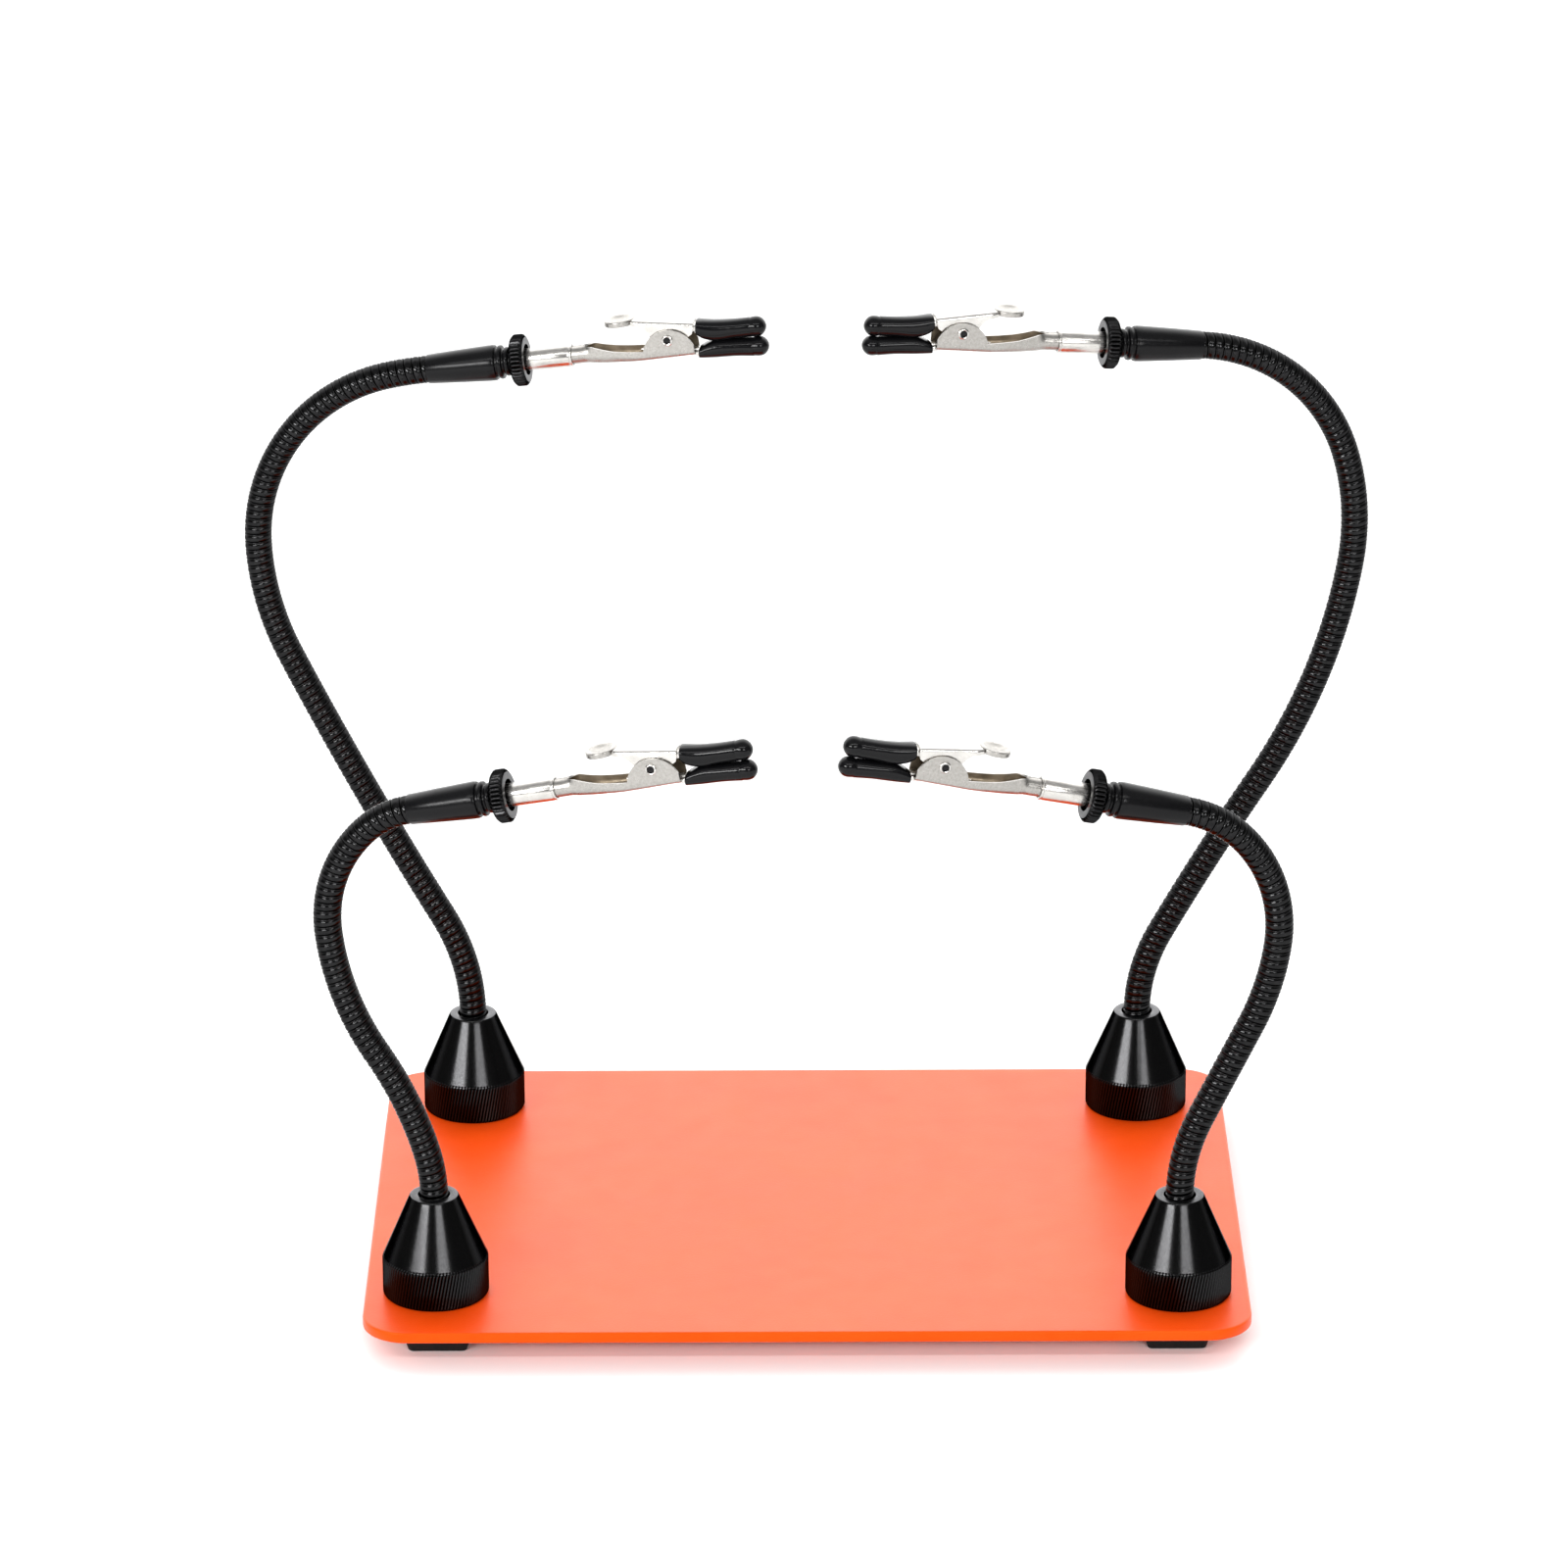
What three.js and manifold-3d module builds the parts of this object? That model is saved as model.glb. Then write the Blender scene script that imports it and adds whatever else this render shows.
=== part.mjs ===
// Helping hands work station for an electronics bench.
// A steel plate on four rubber feet carries four magnetic bases. Each base holds a gooseneck arm,
// and each arm ends in a swivelling alligator clip with soft boots on its jaws.
// Millimetres, +Z up. The origin is on the bench, under the middle of the plate; -Y is the front.

import * as THREE from 'three';
import { mergeVertices } from 'three/addons/utils/BufferGeometryUtils.js';
import Module from 'manifold-3d';

const wasm = await Module();
wasm.setup();

// ---------- driving dimensions ----------

const GAP = 0.3; // clearance between pieces that touch or turn in each other

const PLATE = { width: 250, depth: 185, thickness: 3.2, corner: 13 };
const FOOT = { top: 20, bottom: 16.5, height: 7, insetX: 11, insetY: 8 };
const PLATE_TOP = FOOT.height + PLATE.thickness;

const BASE = { radius: 15, height: 30, knurlHeight: 11, topRadius: 7, boreRadius: 5, boreFloor: 14 };
const MAGNET = { radius: 12.5, height: 5 };
const NECK = { radius: 4, sides: 10, stepLength: 10 };

// The arm's end, measured along it from the end of the gooseneck.
const FERRULE = { length: 20.5, rearRadius: 4.2, frontRadius: 5.2, neckEnd: 25.5 };
const STUD = { radius: 3.5, pinRadius: 1.7, pinEnd: 41 };
const NUT = { radius: 7.5, thickness: 4, chamfer: 0.5, recessRadius: 5, recessDepth: 1.9 };
const NUT_FRONT = FERRULE.neckEnd + NUT.thickness;

// The clip, measured along it from the nut's front face and up from its barrel's axis.
const SOCKET = { start: -0.6, end: 13.6, outer: 3.3, inner: 2.9 };
const BARREL = { start: 3.5, end: 17.5, outer: 2.6, inner: 2 };
const PIVOT = { along: 42.6, up: 2.8 };
const SHEET = 0.6; // thickness of the clip's sheet steel
const EAR = { halfWidth: 4.2, radius: 7.8, up: -2 }; // the lower jaw's round ears
const UPPER_HALF_WIDTH = EAR.halfWidth - SHEET - GAP;
const RIVET = { radius: 1, bore: 0.6, headRadius: 1.65, headHeight: 0.4 };
const PAD = { along: 28.8, up: 9.6, radius: 4.5, rim: 1.6, dish: 0.5 };
const PRONG = { halfHeight: 0.8, halfWidth: 1.5 }; // each jaw's tip, inside its boot
const SPRING = { wire: 0.4, coil: 1.9, width: 2.6, start: 71, end: -800, legs: 9, lift: 5, drop: -3.6 };

// The middle line of each jaw's tip, and the stations of each boot: [along, bottom, top, half width].
const UPPER_TIP = [[49.8, 5.2], [54.5, 4], [67, 3.3]];
const UPPER_BOOT = [
  [51, 3, 7.1, 3.3],
  [54.5, 1.4, 6.6, 3.2],
  [62, 0.8, 6.1, 3],
  [66.5, 0.7, 5.9, 2.9],
  [69, 0.8, 6, 2.8],
  [70.7, 1.9, 4.9, 1.8],
];
const LOWER_TIP = [[49.2, -2.5], [54.5, -2.1], [67, -2.6]];
const LOWER_BOOT = [
  [51, -4.1, -0.9, 3.3],
  [54.5, -4.5, 0.3, 3.2],
  [62, -4.9, 0.3, 3],
  [66.5, -5.3, 0.1, 2.9],
  [69, -5.4, -0.1, 2.8],
  [70.6, -4.4, -1.2, 1.8],
];

const DEGREE = Math.PI / 180;

// Each gooseneck is a run of arcs from its base to its end: [length, bend in degrees], where a
// positive bend leans towards the clip. Each arm's plane is turned by yaw towards the front, and
// splits are the places along the gooseneck where one length of it bends on the next.
const ARMS = [
  { name: 'front_left', x: -105, y: -64, yaw: 12.5, splits: [40],
    bends: [[13, -16.5], [32, -18], [38, 28], [36, 53.5], [14, 30]] },
  { name: 'front_right', x: 105, y: -66, yaw: 12, splits: [40],
    bends: [[24, -27.5], [30, 0], [25, 20], [35, 50], [20, 33.5]] },
  { name: 'back_left', x: -99, y: 67, yaw: 9.5, splits: [45, 145],
    bends: [[32, -31], [92, 4.5], [34.5, 24], [73, 78], [12, 6]] },
  { name: 'back_right', x: 99, y: 67, yaw: 12, splits: [45, 145],
    bends: [[26, -30.5], [54.5, -4], [71.5, 25], [35, 27], [60, 67]] },
];

// ---------- materials ----------

function finish(color, roughness, metalness) {
  return new THREE.MeshStandardMaterial({ color, roughness, metalness });
}
const ORANGE_COAT = finish(0xe8500f, 0.4, 0);
const BLACK_RUBBER = finish(0x1b1b1c, 0.8, 0);
const BLACK_METAL = finish(0x17181a, 0.35, 0.8);
const BLACK_SLEEVE = finish(0x1c1d20, 0.5, 0.2);
const NICKEL = finish(0xc9c6c0, 0.25, 1);
const MAGNET_NICKEL = finish(0xa8a9ab, 0.3, 1);
const BLACK_VINYL = finish(0x0c0d10, 0.15, 0);

// ---------- making solids ----------

/** A closed three.js geometry as a manifold solid. */
function solid(geometry) {
  const bare = geometry.clone();
  bare.deleteAttribute('normal');
  bare.deleteAttribute('uv');
  const merged = mergeVertices(bare, 1e-4);
  return new wasm.Manifold(new wasm.Mesh({
    numProp: 3,
    vertProperties: merged.attributes.position.array,
    triVerts: new Uint32Array(merged.index.array),
  }));
}

/** A manifold solid back as a three.js geometry. */
function geometryOf(made) {
  const mesh = made.getMesh();
  const geometry = new THREE.BufferGeometry();
  geometry.setAttribute('position', new THREE.BufferAttribute(mesh.vertProperties, 3));
  geometry.setIndex(new THREE.BufferAttribute(mesh.triVerts, 1));
  geometry.computeVertexNormals();
  return geometry;
}

/** Turns [along, radius] pairs into a solid of revolution along +X, or along +Z when upright. */
function turned(profile, segments, upright = false) {
  const points = profile.map(([along, radius]) => new THREE.Vector2(radius, along));
  const geometry = new THREE.LatheGeometry(points, segments);
  return upright ? geometry.rotateX(90 * DEGREE) : geometry.rotateZ(-90 * DEGREE);
}

/** The profile of a tube, which closes on itself. */
function tubeProfile(start, end, outer, inner) {
  return [[start, inner], [start, outer], [end, outer], [end, inner], [start, inner]];
}

/** A side outline drawn in X and Z, given a width along Y. */
function sideExtrusion(shape, width) {
  const geometry = new THREE.ExtrudeGeometry(shape, { depth: width, bevelEnabled: false, curveSegments: 8 });
  return geometry.translate(0, 0, -width / 2).rotateX(90 * DEGREE);
}

/** An outline seen from above: [along, half width] stations, mirrored about Y, between two heights. */
function planExtrusion(stations, low, high) {
  const near = stations.map(([along, half]) => new THREE.Vector2(along, -half));
  const far = stations.map(([along, half]) => new THREE.Vector2(along, half)).reverse();
  const shape = new THREE.Shape([...near, ...far]);
  const geometry = new THREE.ExtrudeGeometry(shape, { depth: high - low, bevelEnabled: false });
  return geometry.translate(0, 0, low);
}

function polygon(points) {
  return new THREE.Shape(points.map(([x, y]) => new THREE.Vector2(x, y)));
}

/** A regular outline about the origin, for sweeping along a path. */
function roundSection(radius, sides) {
  const corners = Array.from({ length: sides }, (_, i) => (i * 360 * DEGREE) / sides);
  return polygon(corners.map((angle) => [radius * Math.cos(angle), radius * Math.sin(angle)]));
}

function sweep(path, radius, sides, steps) {
  return new THREE.ExtrudeGeometry(roundSection(radius, sides), { steps, extrudePath: path });
}

function ball(radius, { x, z }) {
  return new THREE.SphereGeometry(radius, NECK.sides, 6).translate(x, 0, z);
}

function addMesh(parent, name, geometry, material) {
  const mesh = new THREE.Mesh(geometry, material);
  mesh.name = name;
  parent.add(mesh);
  return mesh;
}

// ---------- plate and feet ----------

function plate() {
  const x = PLATE.width / 2;
  const y = PLATE.depth / 2;
  const r = PLATE.corner;
  const shape = new THREE.Shape()
    .absarc(x - r, y - r, r, 0, 90 * DEGREE)
    .absarc(-x + r, y - r, r, 90 * DEGREE, 180 * DEGREE)
    .absarc(-x + r, -y + r, r, 180 * DEGREE, 270 * DEGREE)
    .absarc(x - r, -y + r, r, 270 * DEGREE, 360 * DEGREE);
  const options = { depth: PLATE.thickness, bevelEnabled: false, curveSegments: 8 };
  return new THREE.ExtrudeGeometry(shape, options).translate(0, 0, FOOT.height);
}

/** A square rubber foot that narrows to the bench. */
function foot() {
  const height = FOOT.height - GAP;
  const geometry = new THREE.CylinderGeometry(FOOT.top / 2, FOOT.bottom / 2, height, 4, 1);
  // a four-sided cylinder with its corners turned onto the diagonals, and made as wide as the foot
  geometry.rotateY(45 * DEGREE).scale(Math.SQRT2, 1, Math.SQRT2);
  return geometry.rotateX(90 * DEGREE).translate(0, 0, height / 2);
}

function addStand(root) {
  addMesh(root, 'plate', plate(), ORANGE_COAT);
  const x = PLATE.width / 2 - FOOT.insetX - FOOT.top / 2;
  const y = PLATE.depth / 2 - FOOT.insetY - FOOT.top / 2;
  for (const [row, signY] of [['front', -1], ['back', 1]]) {
    for (const [column, signX] of [['left', -1], ['right', 1]]) {
      addMesh(root, `foot_${row}_${column}`, foot(), BLACK_RUBBER).position.set(signX * x, signY * y, 0);
    }
  }
}

// ---------- magnetic base ----------

function baseBody() {
  const recess = { radius: MAGNET.radius + GAP, top: MAGNET.height + 2 * GAP };
  const chamfer = 0.5;
  const profile = [
    [recess.top, 0],
    [recess.top, recess.radius],
    [GAP, recess.radius],
    [GAP, BASE.radius - chamfer],
    [GAP + chamfer, BASE.radius],
    [BASE.knurlHeight, BASE.radius],
    [BASE.height - GAP, BASE.topRadius],
    [BASE.height, BASE.topRadius - GAP],
    [BASE.height, BASE.boreRadius],
    [BASE.boreFloor, BASE.boreRadius],
    [BASE.boreFloor, 0],
  ];
  return turned(profile, 24, true);
}

function magnet() {
  const top = GAP + MAGNET.height;
  return turned([[GAP, 0], [GAP, MAGNET.radius], [top, MAGNET.radius], [top, 0]], 20, true);
}

// ---------- gooseneck ----------

/** Where an arm's centre line is after a length along it, in the arm's plane, and its lean from vertical. */
function neckAt(bends, along) {
  let [x, z, lean, left] = [0, BASE.height, 0, Math.max(0, along)];
  for (const [length, bend] of bends) {
    const run = Math.min(left, length);
    const turn = (bend * DEGREE * run) / length;
    const radius = turn ? run / turn : 0;
    x += turn ? radius * (Math.cos(lean) - Math.cos(lean + turn)) : run * Math.sin(lean);
    z += turn ? radius * (Math.sin(lean + turn) - Math.sin(lean)) : run * Math.cos(lean);
    lean += turn;
    left -= run;
  }
  // below its first arc the line runs straight down into the bore
  return { x, z: z + Math.min(0, along), lean };
}

/** The centre line of an arm between two lengths along it. */
class NeckLine extends THREE.Curve {
  constructor(bends, start, end) {
    super();
    Object.assign(this, { bends, start, end });
  }

  getPoint(t) {
    const along = this.start + t * (this.end - this.start);
    const { x, z } = neckAt(this.bends, along);
    return new THREE.Vector3(x, 0, z);
  }
}

/** One length of gooseneck, with a ball at each place in it that something turns on. */
function neckPiece(bends, start, end, pivots) {
  const steps = Math.max(3, Math.round((end - start) / NECK.stepLength));
  const tube = solid(sweep(new NeckLine(bends, start, end), NECK.radius, NECK.sides, steps));
  const balls = pivots.map((along) => solid(ball(NECK.radius * 0.98, neckAt(bends, along))));
  return geometryOf(balls.reduce((made, each) => made.add(each), tube));
}

// ---------- arm end: ferrule and knurled nut ----------

/** One turned piece: tapered sleeve, ringed neck, threaded stud and the pin that the clip turns on. */
function ferrule() {
  const { length, rearRadius, frontRadius, neckEnd } = FERRULE;
  const studEnd = NUT_FRONT - NUT.recessDepth + GAP;
  const groove = 4.2;
  const ring = 4.9;
  const profile = [
    [0, 0],
    [0, rearRadius],
    [length - 2, frontRadius],
    [length, frontRadius],
    [length, groove],
    [length + 0.7, groove],
    [length + 0.7, ring],
    [length + 2, ring],
    [length + 2.4, STUD.radius],
    [studEnd, STUD.radius],
    [studEnd, STUD.pinRadius],
    [STUD.pinEnd, STUD.pinRadius],
    [STUD.pinEnd, 0],
  ];
  return turned(profile, 16);
}

function nut() {
  const start = FERRULE.neckEnd;
  const bore = STUD.radius + GAP;
  const floor = NUT_FRONT - NUT.recessDepth;
  const profile = [
    [start, bore],
    [start, NUT.radius - NUT.chamfer],
    [start + NUT.chamfer, NUT.radius],
    [NUT_FRONT - NUT.chamfer, NUT.radius],
    [NUT_FRONT, NUT.radius - NUT.chamfer],
    [NUT_FRONT, NUT.recessRadius],
    [floor, NUT.recessRadius],
    [floor, bore],
    [start, bore],
  ];
  return turned(profile, 24);
}

// ---------- alligator clip ----------

/** A bent sheet: a side outline kept within a plan, less the inside of the channel it forms. */
function channel(side, plan, inside, insidePlan) {
  const reach = 20;
  const outer = solid(sideExtrusion(side, reach)).intersect(solid(planExtrusion(plan, -reach, reach)));
  const room = solid(sideExtrusion(inside, reach)).intersect(solid(planExtrusion(insidePlan, -reach, reach)));
  return outer.subtract(room);
}

/** A flat bar that follows a line in X and Z. */
function bar(line, halfHeight, halfWidth) {
  const under = line.map(([x, z]) => [x, z - halfHeight]);
  const over = line.map(([x, z]) => [x, z + halfHeight]).reverse();
  return solid(sideExtrusion(polygon([...under, ...over]), 2 * halfWidth));
}

/** The room that a jaw's tip takes up in its boot. */
function pocket(tipLine) {
  const [mouth, ...rest] = tipLine;
  const [x, z] = rest.pop();
  const line = [[mouth[0] - 1, mouth[1]], ...rest, [x + GAP, z]];
  return bar(line, PRONG.halfHeight + GAP, PRONG.halfWidth + GAP);
}

function pinHole(radius) {
  const cylinder = new THREE.CylinderGeometry(radius, radius, 20, 10);
  return solid(cylinder.translate(PIVOT.along, 0, PIVOT.up));
}

function lowerJaw() {
  const wall = 0.5; // height of the trough's sides above the barrel's axis
  const front = 49.8;
  const bottom = -2.4;
  const earMeets = (height) => Math.asin((height - EAR.up) / EAR.radius);
  const side = polygon([[16, 2.6], [16, -2.5], [front, bottom], [front, -1]]);
  side.absarc(PIVOT.along, EAR.up, EAR.radius, earMeets(0.5), 180 * DEGREE - earMeets(wall));
  side.lineTo(30, wall).lineTo(23, wall + 0.9).lineTo(20, 2.4).lineTo(17, 2.6);
  const plan = [[16, 2.5], [18, 2.6], [26, 3.7], [34, EAR.halfWidth], [front, EAR.halfWidth]];
  const floor = bottom + SHEET;
  const inside = polygon([[16.5, floor], [front - SHEET, floor], [front - SHEET, 12], [16.5, 12]]);
  const insidePlan = plan.map(([along, half]) => [along, half - SHEET]);
  const { start, end, outer, inner } = BARREL;
  const barrel = solid(turned([[start, 0], [start, outer], [end, outer], [end, 0]], 12));
  const bore = solid(turned([[start - 1, 0], [start - 1, inner], [end + 1, inner], [end + 1, 0]], 12));
  const tip = bar(LOWER_TIP, PRONG.halfHeight, PRONG.halfWidth);
  const jaw = channel(side, plan, inside, insidePlan).add(barrel).add(tip);
  return geometryOf(jaw.subtract(bore).subtract(pinHole(RIVET.radius + GAP)));
}

function thumbPad() {
  const { radius, rim, dish } = PAD;
  const profile = [
    [-dish - SHEET, 0],
    [-SHEET, radius - SHEET],
    [-rim, radius - SHEET],
    [-rim, radius],
    [0, radius],
    [-dish, 0],
  ];
  return solid(turned(profile, 20, true).translate(PAD.along, 0, PAD.up));
}

function upperJaw() {
  const earRadius = 3.2;
  const front = 50.4;
  const side = polygon([[31, 9.6], [31, 8.1], [35.3, 7.3], [39.3, PIVOT.up]]);
  side.absarc(PIVOT.along, PIVOT.up, earRadius, 180 * DEGREE, 330 * DEGREE);
  side.lineTo(front - 0.6, 3.9).lineTo(front, 6.9);
  const plan = [[31, 2.2], [34, UPPER_HALF_WIDTH], [front, UPPER_HALF_WIDTH]];
  const inside = polygon([[28, 9.4], [front - SHEET, 6.4], [front - SHEET, -4], [28, -4]]);
  const insidePlan = plan.map(([along, half]) => [along, half - SHEET]);
  const tip = bar(UPPER_TIP, PRONG.halfHeight, PRONG.halfWidth);
  const jaw = channel(side, plan, inside, insidePlan).add(thumbPad()).add(tip);
  return geometryOf(jaw.subtract(pinHole(RIVET.radius + GAP)));
}

/** The hollow rivet that both jaws turn on, with a head outside each ear. */
function rivet() {
  const { radius, bore, headRadius, headHeight } = RIVET;
  const inside = EAR.halfWidth + GAP;
  const outside = inside + headHeight;
  const profile = [
    [-outside, bore],
    [-outside, headRadius],
    [-inside, headRadius],
    [-inside, radius],
    [inside, radius],
    [inside, headRadius],
    [outside, headRadius],
    [outside, bore],
    [-outside, bore],
  ];
  return turned(profile, 10).rotateZ(90 * DEGREE).translate(PIVOT.along, 0, PIVOT.up);
}

/** The torsion spring: a leg under the thumb lever, a coil round the rivet and a leg in the trough. */
function spring() {
  const { wire, coil, width, start, end, legs, lift, drop } = SPRING;
  const bends = 22;
  const helix = Array.from({ length: bends + 1 }, (_, i) => {
    const angle = (start + (i / bends) * (end - start)) * DEGREE;
    return new THREE.Vector3(coil * Math.cos(angle), width * (i / bends - 0.5), coil * Math.sin(angle));
  });
  const upperLeg = new THREE.Vector3(-legs, -width / 2, lift);
  const lowerLeg = new THREE.Vector3(-legs, width / 2, drop);
  const path = new THREE.CatmullRomCurve3([upperLeg, ...helix, lowerLeg], false, 'centripetal');
  return sweep(path, wire, 5, 38).translate(PIVOT.along, 0, PIVOT.up);
}

/** A dipped vinyl boot: round sections between a bottom and a top line, less the room for the jaw. */
function boot(stations, tipLine) {
  const first = stations[0][0];
  const last = stations[stations.length - 1][0];
  const profile = [[first, 0], ...stations.map(([along]) => [along, 1]), [last + 0.5, 0]];
  const geometry = turned(profile, 14);
  const position = geometry.getAttribute('position');
  for (let i = 0; i < position.count; i += 1) {
    const nearest = (at) => Math.abs(at[0] - position.getX(i));
    const [, bottom, top, half] = stations.reduce((best, at) => (nearest(at) < nearest(best) ? at : best));
    position.setY(i, position.getY(i) * half);
    position.setZ(i, (top + bottom) / 2 + (position.getZ(i) * (top - bottom)) / 2);
  }
  return geometryOf(solid(geometry).subtract(pocket(tipLine)));
}

function addClip(parent, name) {
  const clip = new THREE.Group();
  clip.position.x = NUT_FRONT;
  const { start, end, outer, inner } = SOCKET;
  addMesh(clip, `${name}_socket`, turned(tubeProfile(start, end, outer, inner), 14), NICKEL);
  addMesh(clip, `${name}_lower_jaw`, lowerJaw(), NICKEL);
  addMesh(clip, `${name}_upper_jaw`, upperJaw(), NICKEL);
  addMesh(clip, `${name}_rivet`, rivet(), NICKEL);
  addMesh(clip, `${name}_spring`, spring(), NICKEL);
  addMesh(clip, `${name}_lower_boot`, boot(LOWER_BOOT, LOWER_TIP), BLACK_VINYL);
  addMesh(clip, `${name}_upper_boot`, boot(UPPER_BOOT, UPPER_TIP), BLACK_VINYL);
  parent.add(clip);
}

// ---------- one arm, in its own plane: X towards the clip, Z up ----------

function addArm(root, { name, x, y, yaw, bends, splits }) {
  const arm = new THREE.Group();
  arm.position.set(x, y, PLATE_TOP);
  arm.rotation.z = x < 0 ? -yaw * DEGREE : (180 + yaw) * DEGREE;
  root.add(arm);

  addMesh(arm, `${name}_magnet`, magnet(), MAGNET_NICKEL);
  addMesh(arm, `${name}_base`, baseBody(), BLACK_METAL);

  // Each length of gooseneck starts at a ball, and stops short of the next length's ball.
  const reach = NECK.radius + GAP;
  const inBore = BASE.boreFloor + GAP - BASE.height;
  const length = bends.reduce((sum, [run]) => sum + run, 0);
  const starts = [inBore, ...splits];
  const ends = [...splits, length].map((along) => along - reach);
  const names = splits.length > 1 ? ['root', 'middle', 'upper'] : ['root', 'upper'];
  starts.forEach((start, i) => {
    const pivots = [...(i > 0 ? [start] : []), ...(i === splits.length ? [ends[i]] : [])];
    addMesh(arm, `${name}_neck_${names[i]}`, neckPiece(bends, start, ends[i], pivots), BLACK_METAL);
  });

  const tip = neckAt(bends, length);
  const hand = new THREE.Group();
  hand.position.set(tip.x, 0, tip.z);
  hand.rotation.y = tip.lean - 90 * DEGREE;
  arm.add(hand);
  addMesh(hand, `${name}_ferrule`, ferrule(), BLACK_SLEEVE);
  addMesh(hand, `${name}_nut`, nut(), BLACK_METAL);
  addClip(hand, name);
}

const station = new THREE.Group();
addStand(station);
for (const arm of ARMS) addArm(station, arm);

export default station;
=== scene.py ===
"""Looks for the helping hands work station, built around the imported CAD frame.

Shapes are worked out in millimetres in their own arm's or clip's frame, and become pieces in metres.
An arm's frame stands on the plate under its base, with X towards the clip and Z up. A hand's frame
starts at the end of the gooseneck, with X along the arm's end, and a clip's at the nut's front face.
"""
import math

import bmesh
import bpy
import numpy as np
from mathutils import Matrix, Vector


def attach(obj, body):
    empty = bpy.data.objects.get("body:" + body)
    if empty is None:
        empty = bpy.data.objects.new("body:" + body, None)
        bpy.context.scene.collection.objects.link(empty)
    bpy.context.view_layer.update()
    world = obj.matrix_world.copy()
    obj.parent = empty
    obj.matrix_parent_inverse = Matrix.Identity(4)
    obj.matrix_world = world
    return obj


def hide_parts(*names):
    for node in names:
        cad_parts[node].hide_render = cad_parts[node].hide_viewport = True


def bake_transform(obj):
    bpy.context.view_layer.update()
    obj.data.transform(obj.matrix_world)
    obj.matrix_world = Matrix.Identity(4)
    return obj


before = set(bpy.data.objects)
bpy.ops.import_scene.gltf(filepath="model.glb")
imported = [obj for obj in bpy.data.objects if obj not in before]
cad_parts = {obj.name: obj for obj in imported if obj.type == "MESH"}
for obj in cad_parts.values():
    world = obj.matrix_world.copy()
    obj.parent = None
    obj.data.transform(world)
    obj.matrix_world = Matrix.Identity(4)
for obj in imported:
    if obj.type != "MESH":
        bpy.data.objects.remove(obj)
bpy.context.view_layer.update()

MM = 0.001
scene = bpy.context.scene

# ---------- dimensions, as in the CAD source ----------

PLATE = {"width": 250, "depth": 185, "bottom": 7, "top": 10.2, "corner": 13}
FOOT = {"x": 104, "y": 74.5, "top": 20, "bottom": 16.5, "height": 7, "corner": 1.5}
BASE = {"radius": 15, "height": 30, "knurl": 11, "top": 7}
NECK = {"radius": 4, "pitch": 2.4, "columns": 32, "bore_start": -13.9}
# where a gooseneck bends: so far each side of a hinge, and round its end, where it runs on into the sleeve
BEND = {"half": 14, "before_end": 15, "past_end": 0.5, "tuck": 1.5}
NUT_BACK, NUT_FRONT = 25.5, 29.5
PIVOT = (42.6, 2.8)
EAR = {"half": 4.2, "radius": 7.8, "up": -2, "foot": -0.2}
LEVER_HALF = 3.3
SHEET = 0.6
PAD = {"along": 28.8, "up": 9.6, "radius": 4.5, "sheet": 0.45, "edge": 0.08}
SPRING = {
    "wire": 0.4, "coil": 1.9, "width": 2.6, "start": 71, "end": -800, "legs": 9, "lift": 5, "drop": -3.6,
}

# a boot's stations: how far along, its bottom, its top and half its width
UPPER_BOOT = [
    (51.0, 2.9, 7.1, 3.3), (52.2, 1.75, 6.95, 3.28), (54.5, 0.68, 6.6, 3.2), (62, 0.47, 6.1, 3),
    (66.3, 0.42, 6.1, 2.9),
]
LOWER_BOOT = [
    (50.9, -4.1, -0.9, 3.3), (52, -4.25, -0.35, 3.28), (54.5, -4.5, 0.36, 3.2), (62, -4.9, 0.36, 3),
    (66.3, -5.4, 0.2, 2.9),
]
# the bead past a boot's last station: how far past it, and its size as a share of that station
BEAD = [
    (0.44, 0.985), (0.75, 1.01), (1.3, 1.035), (1.95, 1.04), (2.6, 1.01), (3.2, 0.925), (3.75, 0.78),
    (4.2, 0.59), (4.5, 0.4), (4.68, 0.2), (4.75, 0.02),
]
BOOT_TILT = 0.12

# each arm's place and turn on the plate, the distances along its gooseneck where it is split at a hinge,
# and the gooseneck's runs, each with its length and how many degrees it turns
ARMS = [
    {"name": "front_left", "x": -105, "y": -64, "yaw": 12.5, "splits": [40],
     "bends": [(13, -16.5), (32, -18), (38, 28), (36, 53.5), (14, 30)]},
    {"name": "front_right", "x": 105, "y": -66, "yaw": 12, "splits": [40],
     "bends": [(24, -27.5), (30, 0), (25, 20), (35, 50), (20, 33.5)]},
    {"name": "back_left", "x": -99, "y": 67, "yaw": 9.5, "splits": [45, 145],
     "bends": [(32, -31), (92, 4.5), (34.5, 24), (73, 78), (12, 6)]},
    {"name": "back_right", "x": 99, "y": 67, "yaw": 12, "splits": [45, 145],
     "bends": [(26, -30.5), (54.5, -4), (71.5, 25), (35, 27), (60, 67)]},
]


# ---------- camera, floor and light ----------

# solved from the corners of the plate in the photograph: place in mm, tilt and roll in degrees
CAMERA = {"place": (-6.0, -1953.4, 895.3), "tilt": 21.17, "roll": -0.2, "lens": 168.75, "sensor": 36}
VIEW_NEAR, VIEW_FAR, FLOOR_HALF = 0.1, 200, 70

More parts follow.
